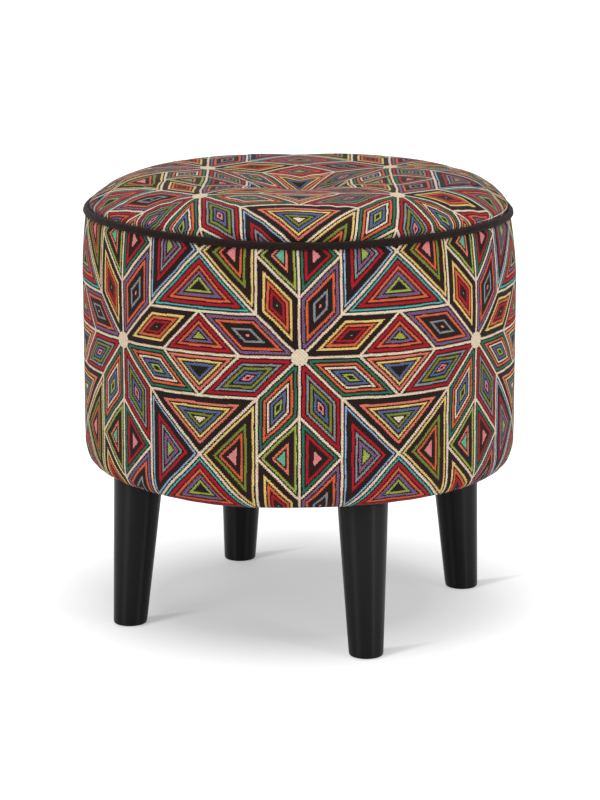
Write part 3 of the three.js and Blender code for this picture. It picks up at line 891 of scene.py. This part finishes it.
def pressed_out(obj, pinned):
    """Blows a sheet out from under, held at its pinned points, with cloth a little larger than its form.

    It starts inside the form, and no point ends far from it.
    """
    form, normals = read_points(obj.data), read_points(obj.data, "normal")
    write_points(obj.data, form - normals * np.where(pinned, 0, FARTHEST_OUT)[:, None])
    pins = obj.vertex_groups.new(name="pins")
    pins.add([int(i) for i in np.flatnonzero(pinned)], 1.0, "REPLACE")
    cloth = obj.modifiers.new("cloth", "CLOTH")
    for key, value in STUFFED_CLOTH.items():
        setattr(cloth.settings, key, value)
    cloth.settings.vertex_group_mass = "pins"
    cloth.settings.effector_weights.gravity = 0
    cloth.point_cache.frame_start = 1
    cloth.point_cache.frame_end = STUFFING_STEPS
    scene = bpy.context.scene
    for step in range(1, STUFFING_STEPS + 1):
        scene.frame_set(step)
    graph = bpy.context.evaluated_depsgraph_get()
    moved = read_points(obj.evaluated_get(graph).data) - form
    obj.modifiers.remove(cloth)
    scene.frame_set(1)
    outwards = np.sum(moved * normals, axis=1, keepdims=True)
    sideways = moved - normals * outwards
    reach = np.linalg.norm(sideways, axis=1, keepdims=True)
    sideways *= np.minimum(1, FARTHEST_OUT / np.maximum(reach, 1e-9))
    outwards = np.clip(outwards, -FARTHEST_IN, FARTHEST_OUT)
    write_points(obj.data, form + normals * outwards + sideways)
    obj.vertex_groups.clear()


def subdivided(obj):
    """One subdivision that keeps the UV map's scale."""
    modifier = obj.modifiers.new("finer", "SUBSURF")
    modifier.levels = modifier.render_levels = 1
    modifier.uv_smooth = "PRESERVE_BOUNDARIES"
    return apply_modifiers(obj)


def thickened(obj, thickness):
    """Gives a sheet its thickness, inwards from the face that shows."""
    modifier = obj.modifiers.new("thickness", "SOLIDIFY")
    modifier.thickness = thickness * MM
    modifier.offset = -1
    return apply_modifiers(obj)


def top_cover():
    """The seat's cover: crowned, with gathers round the tuft."""
    x, y, quads = disc_grid(SEAT_CELLS)
    part, angle = np.hypot(x, y), np.arctan2(y, x)
    along = CROWN.length * part * (0.78 + 0.22 * part)
    radius, height = CROWN.at(along)
    gather = TUFT_GATHER * hump(radius - TUFT_GATHER_RADIUS, TUFT_GATHER_WIDTH) * grows(radius, 12)
    pucker = SEAT_PUCKER * hump(CROWN.length - SEAT_PUCKER_INSET - along, SEAT_PUCKER_WIDTH)
    height = height + gather * wave_noise(angle, 3, 9, 16) + pucker * wave_noise(angle, 5, 40, 70)
    clear = clear_of_seam(height)
    height = height + tuft_pull(radius, angle, height) + seam_level(angle) * (1 - clear)
    off_centre = (1 - 0.6 * clear) * grows(radius, 150)
    obj = new_object("seat_cover", shifted(round_axis(radius, angle, height), off_centre) * MM, quads)
    pressed_out(obj, pinned=(along < BUTTON_RADIUS + 2) | (radius > TOP_SEAM_RADIUS - 2.5))
    flat = facing_camera(along * np.cos(angle), along * np.sin(angle))
    lay_pattern(obj, flat[corner_points(obj)], SEAT_SHIFT)
    subdivided(obj)
    smooth(obj, 180)
    thickened(obj, CLOTH)
    dress(obj, TAPESTRY, "top_cover", slot="tapestry")


def seat_wadding():
    """The wadding between the cover and the foam, drawn down with the cover at the tuft."""
    segments = 180
    along = np.linspace(6, CROWN.length - 16, 90)
    radius, height = CROWN.at(along)
    rise, run = np.gradient(height, along), np.gradient(radius, along)
    upper, lower = (
        np.stack([radius + rise * depth, height - run * depth], axis=1) for depth in WADDING_DEPTHS
    )
    obj = turned("seat_wadding_layer", [*upper, *lower[::-1]], segments)
    x, y, z = read_points(obj.data).T / MM
    on_top = np.arange(len(z)) < len(upper) * segments
    z = z + np.where(on_top, tuft_pull(np.hypot(x, y), np.arctan2(y, x), z), 0)
    write_points(obj.data, np.stack([x, y, z], axis=1) * MM)
    smooth(obj, 60)
    dress(obj, WADDING, "seat_wadding", slot="wadding")


def cut_leg_openings(obj):
    """Opens a sheet round each leg, and draws the edge of each opening to a true circle."""
    work = bmesh.new()
    work.from_mesh(obj.data)
    radius = (LEG_TOP_RADIUS + LEG_OPENING_ROOM) * MM
    lean = LEG_RING_RADIUS - UNDERSIDE_HEIGHT * math.tan(LEG_SPLAY)
    for angle in CORNERS.values():
        centre = Vector(round_axis(lean, angle)).xy * MM
        low = [v for v in work.verts if v.co.z < (UNDERSIDE_HEIGHT + 6) * MM]
        lost = {v for v in low if (v.co.xy - centre).length < radius}
        doomed = [f for f in work.faces if any(v in lost for v in f.verts)]
        rim = {v for f in doomed for v in f.verts if v not in lost}
        bmesh.ops.delete(work, geom=doomed, context="FACES")
        for vertex in rim:
            if vertex.is_valid and vertex.is_boundary:
                away = vertex.co.xy - centre
                if away.length < radius + LEG_OPENING_RIM * MM:
                    vertex.co.xy = centre + away.normalized() * radius
    work.to_mesh(obj.data)
    work.free()


def side_cover():
    """The side's cover: tight over the foam, puckered at the seam and gathered under the bottom edge."""
    along = np.linspace(0, SIDE.length, SIDE_ROWS + 1)
    angle = TURN * np.arange(SIDE_COLUMNS) / SIDE_COLUMNS + math.pi / 2
    along, angle = np.meshgrid(along, angle, indexing="ij")
    radius, height = SIDE.at(along)
    from_seam = np.clip(WALL_TOP - height, 0, None)
    pucker = SIDE_PUCKER * hump(from_seam, SIDE_PUCKER_WIDTH) * grows(along - 8, 6)
    gather = HEM_GATHER * grows(HEM_GATHER_TOP - height, HEM_GATHER_TOP - UNDERSIDE_HEIGHT) ** 2
    wall = SIDE_HOLLOW * grows(from_seam, 40) * grows(height - 165, SIDE_HOLLOW_RISE)
    hollow = wave_noise(angle, 17, 2, 6) + 0.6 * np.sin(height / 38) * wave_noise(angle, 19, 3, 9)
    from_back_seam = wrapped(angle - math.pi / 2) * BODY_RADIUS
    radius = radius + pucker * wave_noise(angle, 11, 40, 75) + gather * wave_noise(angle, 13, 30, 60)
    radius = radius + wall * hollow - BACK_SEAM_DEPTH * hump(from_back_seam, BACK_SEAM_WIDTH)
    shoulder = grows(height - SHOULDER_START, SHOULDER_HEIGHT) ** 2
    height = height + seam_level(angle) * shoulder
    low = grows(HEM_SAG_TOP - height, 30) * grows(radius - HEM_SAG_RADIUS, 8)
    height = height + hem_level(angle) * low
    points = shifted(round_axis(radius, angle, height), np.sqrt(shoulder)).reshape(-1, 3) * MM
    index = np.arange(len(points)).reshape(angle.shape)
    after = np.roll(index, -1, axis=1)
    quads = np.stack([index[:-1], index[1:], after[1:], after[:-1]], axis=2).reshape(-1, 4)
    obj = new_object("side_wrap", points, quads)
    left = (angle[0] - TURN - FRONT) * BODY_RADIUS
    right = left + TURN * BODY_RADIUS / SIDE_COLUMNS
    level = SIDE_SEAM_ALONG - TOP_SEAM_ALONG - along[:, :1]
    high, low = level[:-1], level[1:]
    corners = [(left, high), (left, low), (right, low), (right, high)]
    places = np.stack([np.stack(np.broadcast_arrays(*pair), axis=2) for pair in corners], axis=2)
    lay_pattern(obj, places, SIDE_SHIFT)
    cut_leg_openings(obj)
    smooth(obj, 180)
    thickened(obj, CLOTH)
    dress(obj, TAPESTRY, "side_cover", slot="tapestry")


# Piping

PIPING_POINTS = 540
PIPING_SIDES = 28
PIPING_PUCKER = 0.5
PIPING_LAP = 14
PIPING_LAP_FULLNESS = 0.07
PIPING_UNEVENNESS = 0.02
SEAM_UNEVENNESS = (0.12, 0.15)
CORD_SIDES = 12


def new_tree(name, **sockets):
    """A Geometry Nodes tree with a geometry input and output, and named inputs."""
    tree = bpy.data.node_groups.new(name, "GeometryNodeTree")
    inputs = {}
    for label, kind in {"Geometry": "Geometry", **sockets}.items():
        label = label.replace("_", " ")
        inputs[label] = tree.interface.new_socket(label, in_out="INPUT", socket_type=f"NodeSocket{kind}")
    tree.interface.new_socket("Geometry", in_out="OUTPUT", socket_type="NodeSocketGeometry")
    n = Nodes(tree)
    given = {value.socket.name: value for value in n.all_out(n.add("NodeGroupInput"))}
    return n, given, inputs


def end_tree(n, geometry, material):
    real = n.out("GeometryNodeRealizeInstances", {"Geometry": geometry})
    covered = n.out("GeometryNodeSetMaterial", {"Geometry": real, "Material": material})
    n.add("NodeGroupOutput", {"Geometry": covered})


def grown(obj, tree, inputs, values):
    """Runs a tree on an object with its inputs set, and keeps the result as a plain mesh."""
    modifier = obj.modifiers.new(tree.name, "NODES")
    modifier.node_group = tree
    for label, value in values.items():
        modifier[inputs[label].identifier] = value
    return apply_modifiers(obj)


def piping_tree():
    """Sweeps a circle along a path, thicker or thinner as the path's fullness says, and puckers it."""
    n, given, inputs = new_tree(
        "piping", Cord_radius="Float", Sides="Int", Pucker_depth="Float", Cloth="Material"
    )
    path = n.out("GeometryNodeMeshToCurve", {"Mesh": given["Geometry"]})
    fullness = n.out("GeometryNodeInputNamedAttribute", {"Name": "fullness"}, data_type="FLOAT")
    circle = {"Resolution": given["Sides"], "Radius": given["Cord radius"]}
    section = n.out("GeometryNodeCurvePrimitiveCircle", circle)
    sweep = {"Curve": path, "Profile Curve": section, "Scale": fullness}
    swept = n.out("GeometryNodeCurveToMesh", sweep)
    wrinkle = n.noise(n.out("GeometryNodeInputPosition"), 170.0, 2.0)
    push = n.tinted(n.out("GeometryNodeInputNormal"), (wrinkle - 0.5) * given["Pucker depth"])
    puckered = n.out("GeometryNodeSetPosition", {"Geometry": swept, "Offset": push})
    end_tree(n, puckered, given["Cloth"])
    return n.tree, inputs


def seam_path(name, fullness):
    """A ring of edges along the seam. Each point has the fullness of what is swept along it."""
    index = np.arange(PIPING_POINTS)
    angle = TURN * index / PIPING_POINTS
    sideways, upwards = SEAM_UNEVENNESS
    radius = PIPING_RING_RADIUS + sideways * wave_noise(angle, 29, 3, 14)
    height = SEAM_HEIGHT + seam_level(angle) + upwards * wave_noise(angle, 31, 5, 16)
    points = shifted(round_axis(radius, angle, height), 1.0) * MM
    obj = new_object(name, points, edges=zip(index.tolist(), np.roll(index, -1).tolist()))
    layer = obj.data.attributes.new("fullness", "FLOAT", "POINT")
    layer.data.foreach_set("value", fullness(angle).astype(np.float32))
    return obj


def piping():
    """The piping: cloth swept round a cord along the seam, fuller where its ends lap at the back."""
    tree, inputs = piping_tree()

    def cloth_fullness(angle):
        from_lap = (angle - math.pi / 2) * PIPING_RING_RADIUS
        lap = PIPING_LAP_FULLNESS * np.exp(-((from_lap / PIPING_LAP) ** 4))
        return 1 + PIPING_UNEVENNESS * wave_noise(angle, 23, 20, 60) + lap

    def swept(name, fullness, radius, sides, pucker, material, node, slot):
        obj = seam_path(name, fullness)
        sizes = {"Cord radius": radius * MM, "Sides": sides, "Pucker depth": pucker * MM, "Cloth": material}
        grown(obj, tree, inputs, sizes)
        smooth(obj, 180)
        dress(obj, material, node, slot=slot)

    cloth = (PIPING_RADIUS, PIPING_SIDES, PIPING_PUCKER, PIPING_CLOTH)
    swept("piping", cloth_fullness, *cloth, "piping_cover", "piping")
    cord = (CORD_RADIUS, CORD_SIDES, 0.0, TWINE)
    swept("piping_filler_cord", np.ones_like, *cord, "piping_cord", "twine")


# Tuft button


def tuft_button():
    """The covered button, with its cloth drawn in under its rim."""
    low = float(crown_height(BUTTON_RADIUS + 1.5)) + 0.3
    dome = arc((0, low + 1.5), BUTTON_RADIUS, 0, 90, 13, BUTTON_RISE)
    under = [(10.4, low + 0.3), (11.6, low), (12.6, low + 0.5)]
    profile = [*under, *dome[:-1], (0, dome[-1][1]), (0, low + 2), (10.4, low + 2)]
    obj = smooth(turned("tuft_button_cap", profile, 64), 70)
    x, y, _ = read_points(obj.data)[corner_points(obj)].T / MM
    lay_pattern(obj, facing_camera(x, y), BUTTON_SHIFT)
    dress(obj, TAPESTRY, "tuft_button", slot="tapestry")


# Legs and glides

LEG_BORE_RADIUS = 4.4
LEG_BORE_DEPTH = 31
RECESS_RADIUS = GLIDE_RADIUS + 0.3
RECESS_DEPTH = 2
NAIL_HOLE_RADIUS = 2.3
FOOT_LEVELLED = 8
GLIDE_EDGE = 1.2


def on_leg_ring(angle):
    return Matrix.Rotation(angle, 4, "Z") @ Matrix.Translation((LEG_RING_RADIUS, 0, 0))


def leg(corner, angle):
    """A turned leg: a straight taper, rounded at the foot, with a recess for its glide."""
    slope = (LEG_TOP_RADIUS - LEG_FOOT_RADIUS) / LEG_TOP_HEIGHT
    foot = arc((LEG_FOOT_RADIUS - FOOT_ROUNDING, FOOT_ROUNDING), FOOT_ROUNDING, -90, -2, 10)
    rise = [(LEG_FOOT_RADIUS + slope * z, z) for z in np.linspace(3, LEG_TOP_HEIGHT - 2, 26)]
    top = [(LEG_TOP_RADIUS - 0.2, LEG_TOP_HEIGHT - 0.4), (LEG_TOP_RADIUS - 0.8, LEG_TOP_HEIGHT)]
    bore_end = LEG_TOP_HEIGHT - LEG_BORE_DEPTH
    bore = [(LEG_BORE_RADIUS, LEG_TOP_HEIGHT), (LEG_BORE_RADIUS, bore_end), (0, bore_end)]
    nail_hole = [(0, 16), (NAIL_HOLE_RADIUS, 15.5), (NAIL_HOLE_RADIUS, RECESS_DEPTH)]
    recess = [*nail_hole, (RECESS_RADIUS, RECESS_DEPTH), (RECESS_RADIUS, 0)]
    place = on_leg_ring(angle) @ Matrix.Rotation(-LEG_SPLAY, 4, "Y")
    obj = turned(f"turned_leg_{corner}", [*recess, *foot, *rise, *top, *bore], 96, place)

    # The foot is cut level with the floor
    x, y, z = read_points(obj.data).T / MM
    sole = (math.cos(angle) * x + math.sin(angle) * y - LEG_RING_RADIUS) * math.sin(LEG_SPLAY)
    share = np.where(z < 12, np.clip(1 - (z - sole) / FOOT_LEVELLED, 0, 1), 0)
    z = z + share * (FOOT_HEIGHT - sole)
    write_points(obj.data, np.stack([x, y, z], axis=1) * MM)
    smooth(obj, 50)
    dress(obj, LACQUER, f"leg_{corner}", slot="black_wood")


def glide(corner, angle):
    """A nail-in glide: a domed plastic foot, with the nail's shank up into the leg."""
    profile = [
        (0, 0.6),
        (3.0, 0.6),
        (3.4, 0.0),
        *arc((GLIDE_RADIUS - GLIDE_EDGE, GLIDE_EDGE), GLIDE_EDGE, -90, 0, 7),
        (GLIDE_RADIUS, GLIDE_HEIGHT - 0.3),
        (GLIDE_RADIUS - 0.3, GLIDE_HEIGHT),
        (1, GLIDE_HEIGHT),
        (1, 13),
        (0, 15),
    ]
    obj = smooth(turned(f"foot_glide_{corner}", profile, 48, on_leg_ring(angle)), 45)
    dress(obj, GLIDE_PLASTIC, f"glide_{corner}", slot="glide")


# Underside

STAPLE_RING_RADIUS = 190
STAPLE_PLACES = (0, 27, 63)
STAPLE_ANGLES = [math.radians(90 * quarter + place) for quarter in range(4) for place in STAPLE_PLACES]
STAPLE_CROWN = 10
STAPLE_WIRE = 0.9
STAPLE_SHOULDER = 0.9
STAPLE_LEG = 8.0
DUST_TOP = UNDERSIDE_HEIGHT - 0.3
DUST_THICKNESS = 0.6
DUST_RADIUS = 195
DUST_RIPPLE = 0.55
DUST_SAG = 0.35
DUST_SAG_VARIES = 0.25
STAPLE_PULL_WIDTH = 22


def dust_cover():
    """The black cover under the base, drawn up at each staple and sagging a little between them."""
    x, y, quads = disc_grid(96)
    x, y = x * DUST_RADIUS, y * DUST_RADIUS
    pull = np.zeros_like(x)
    for staple_x, staple_y, _ in round_axis(STAPLE_RING_RADIUS, np.array(STAPLE_ANGLES)):
        pull = np.maximum(pull, hump(np.hypot(x - staple_x, y - staple_y), STAPLE_PULL_WIDTH))
    edge = hump(DUST_RADIUS - np.hypot(x, y), 26)
    ripple = wave_noise(np.arctan2(y, x), 41, 14, 30) * edge * (1 - pull)
    sag = DUST_SAG + DUST_SAG_VARIES * np.sin(x / 31 + 1) * np.sin(y / 43)
    drop = (DUST_RIPPLE * ripple.clip(-0.6, 1.5) + sag) * (1 - pull)
    points = np.stack([x, y, DUST_TOP - DUST_THICKNESS - drop - 0.02], axis=1) * MM
    obj = new_object("dust_cloth_cover", points, quads[:, ::-1])
    cut_leg_openings(obj)
    smooth(obj, 180)
    thickened(obj, DUST_THICKNESS)
    dress(obj, DUST_CLOTH, "dust_cover", slot="dust_cloth")


def staple_shape():
    """One staple's path: a crown and two legs, with rounded shoulders."""
    half = (STAPLE_CROWN - STAPLE_WIRE) / 2
    centre = half - STAPLE_SHOULDER
    left = arc((-centre, STAPLE_SHOULDER), STAPLE_SHOULDER, 180, 270, 5)
    right = arc((centre, STAPLE_SHOULDER), STAPLE_SHOULDER, 270, 360, 5)
    path = [(-half, STAPLE_LEG), *left, *right, (half, STAPLE_LEG)]
    curve = bpy.data.curves.new("staple_path", "CURVE")
    curve.dimensions = "3D"
    spline = curve.splines.new("POLY")
    spline.points.add(len(path) - 1)
    for point, (side, up) in zip(spline.points, path):
        point.co = (0, side * MM, up * MM, 1)
    return bpy.data.objects.new("staple_path", curve)


def staples():
    """The staples: one path, swept with wire and set round the dust cover."""
    n, given, inputs = new_tree("staples", Staple_path="Object", Wire_thickness="Float", Steel="Material")
    path = n.out("GeometryNodeObjectInfo", {"Object": given["Staple path"]}, "Geometry")
    circle = {"Resolution": 10, "Radius": given["Wire thickness"] * 0.5}
    section = n.out("GeometryNodeCurvePrimitiveCircle", circle)
    sweep = {"Curve": path, "Profile Curve": section, "Fill Caps": True}
    one = n.out("GeometryNodeCurveToMesh", sweep)
    turn = n.out("GeometryNodeInputNamedAttribute", {"Name": "turn"}, data_type="FLOAT_VECTOR")
    spots = {"Points": given["Geometry"], "Instance": one, "Rotation": turn}
    end_tree(n, n.out("GeometryNodeInstanceOnPoints", spots), given["Steel"])

    level = DUST_TOP - DUST_THICKNESS - 0.3 - STAPLE_WIRE / 2
    places = round_axis(STAPLE_RING_RADIUS, np.array(STAPLE_ANGLES), level) * MM
    obj = new_object("dust_cover_staples", places)
    turns = obj.data.attributes.new("turn", "FLOAT_VECTOR", "POINT")
    turns.data.foreach_set("vector", np.array([(0, 0, angle) for angle in STAPLE_ANGLES]).ravel())
    shape = staple_shape()
    sizes = {"Staple path": shape, "Wire thickness": STAPLE_WIRE * MM, "Steel": ZINC}
    grown(obj, n.tree, inputs, sizes)
    bpy.data.objects.remove(shape)
    smooth(obj, 60)
    nodes = [f"dust_cover_staple_{k + 1}" for k in range(len(STAPLE_ANGLES))]
    dress(obj, ZINC, *nodes, slot="steel")


# The pieces that stay as they are in the frame


def finish_hidden_pieces():
    finishes = {
        "plywood": PLYWOOD,
        "pine": PINE,
        "hardboard": HARDBOARD,
        "foam": FOAM,
        "wadding": WADDING,
        "steel": ZINC,
        "twine": TWINE,
    }
    slots = {part["node"]: part["material_slot"] for part in frame["record"]["subparts"]}
    for name, obj in frame["nodes"].items():
        if slots[name] in finishes:
            obj.data.materials.clear()
            obj.data.materials.append(finishes[slots[name]])


# Studio

AMBIENT = 0.62
LOOKED_AT = Vector((0, 0, 0.25))
FLOOR_REACH = 12
FLOOR_LIT = (0.8, 0.8, 0.8, 1)
FLOOR_SEEN = (0.28, 0.28, 0.28, 1)

# The floor's own glow is weaker in the stool's shadow, and weaker still beside each foot
FLOOR_GLOW = 0.42
SHADOW_REACH = (0.137, 0.345)
SHADOW_CENTRE = (-0.0196, 0.021)
FOOT_SHADE = 0.42
FOOT_SHADE_LENGTH = 105
FOOT_SHADE_TURN = math.radians(32)


def camera():
    data = bpy.data.cameras.new("camera")
    data.sensor_fit = "VERTICAL"
    data.sensor_height = SENSOR_MM
    data.lens = SENSOR_MM * FOCAL_LENGTH_PIXELS / PICTURE_HEIGHT_PIXELS
    data.clip_end = 50
    obj = in_scene("camera", data)
    obj.location = round_axis(CAMERA_DISTANCE, FRONT, CAMERA_HEIGHT)
    obj.rotation_euler = (math.pi / 2 - CAMERA_PITCH, 0, CAMERA_AZIMUTH - CAMERA_TURN)
    bpy.context.scene.camera = obj


def softbox(name, azimuth, distance, height, size, power):
    """A rectangular lamp that looks at the middle of the stool. Azimuth 0 is over the camera."""
    data = bpy.data.lights.new(name, "AREA")
    data.shape = "RECTANGLE"
    data.size, data.size_y = size
    data.energy = power
    obj = in_scene(name, data)
    obj.location = round_axis(distance, FRONT + math.radians(azimuth), height)
    obj.rotation_euler = (LOOKED_AT - obj.location).to_track_quat("-Z", "Y").to_euler()


def seen_directly(n):
    """1 for what the camera, a reflection or a view through glass meets, and 0 for light on the object."""
    rays = n.add("ShaderNodeLightPath").outputs
    met, glossy, through = (Value(n, rays[f"Is {ray} Ray"]) for ray in ("Camera", "Glossy", "Transmission"))
    return n.math("MAXIMUM", n.math("MAXIMUM", met, glossy), through)


def foot_shade(n, x, y):
    """1 where a foot hides the floor from the key lamp, in a patch that narrows to a point."""
    turn = CAMERA_AZIMUTH + FOOT_SHADE_TURN
    cosine, sine = math.cos(turn), math.sin(turn)
    darkest = 0.0
    for angle in CORNERS.values():
        foot = round_axis(LEG_RING_RADIUS, angle) * MM
        from_x, from_y = x - foot[0], y - foot[1]
        along = from_x * cosine + from_y * sine
        across = from_y * cosine - from_x * sine
        near = n.spread(along, 0.0, FOOT_SHADE_LENGTH * MM, 1.0, 0.0)
        inside = near * (LEG_FOOT_RADIUS * MM) - n.math("ABSOLUTE", across)
        soft = near * n.spread(inside, -1 * MM, 7 * MM, 0.0, 1.0)
        darkest = n.math("MAXIMUM", darkest, soft * n.spread(along, 0.0, 6 * MM, 0.0, 1.0))
    return darkest


def backdrop():
    world = bpy.data.worlds.new("studio")
    bpy.context.scene.world = world
    world.use_nodes = True
    n = Nodes(world.node_tree)
    back = n.tree.nodes["Background"]
    n.feed(back.inputs["Color"], (1, 1, 1, 1))
    n.feed(back.inputs["Strength"], n.spread(seen_directly(n), 0.0, 1.0, AMBIENT, 1.0))

    n = Finish("studio_floor")
    seen = seen_directly(n)
    x, y, _ = n.split(n.place())
    kept = 1.0 - foot_shade(n, x, y) * FOOT_SHADE
    away = n.length(x - SHADOW_CENTRE[0], y - SHADOW_CENTRE[1])
    brightness = seen * (kept * n.spread(away, *SHADOW_REACH, FLOOR_GLOW, 1.0))
    diffuse = n.out("ShaderNodeBsdfDiffuse", {"Color": n.mixed(seen, FLOOR_LIT, FLOOR_SEEN)})
    glow = n.out("ShaderNodeEmission", {"Strength": brightness})
    material = n.end(n.out("ShaderNodeAddShader", {0: diffuse, 1: glow}))
    corners = [(-1, -1, 0), (1, -1, 0), (1, 1, 0), (-1, 1, 0)]
    floor = new_object("studio_floor_plane", [Vector(p) * FLOOR_REACH for p in corners], [(0, 1, 2, 3)])
    floor.data.materials.append(material)


def lights():
    softbox("key_softbox", -48, 2.3, 1.1, (0.9, 2.2), 27)
    softbox("fill_softbox", 58, 2.6, 1.3, (2.0, 2.2), 23)
    softbox("edge_strip", 46, 1.5, 0.6, (0.12, 1.2), 6)
    softbox("top_softbox", -20, 0.9, 3.0, (1.6, 1.6), 33)
    softbox("back_softbox", 190, 2.8, 1.4, (2.4, 2.2), 22)
    bpy.context.scene.view_settings.view_transform = "Standard"


camera()
backdrop()
lights()
top_cover()
seat_wadding()
side_cover()
piping()
tuft_button()
for corner, angle in CORNERS.items():
    leg(corner, angle)
    glide(corner, angle)
dust_cover()
staples()
finish_hidden_pieces()
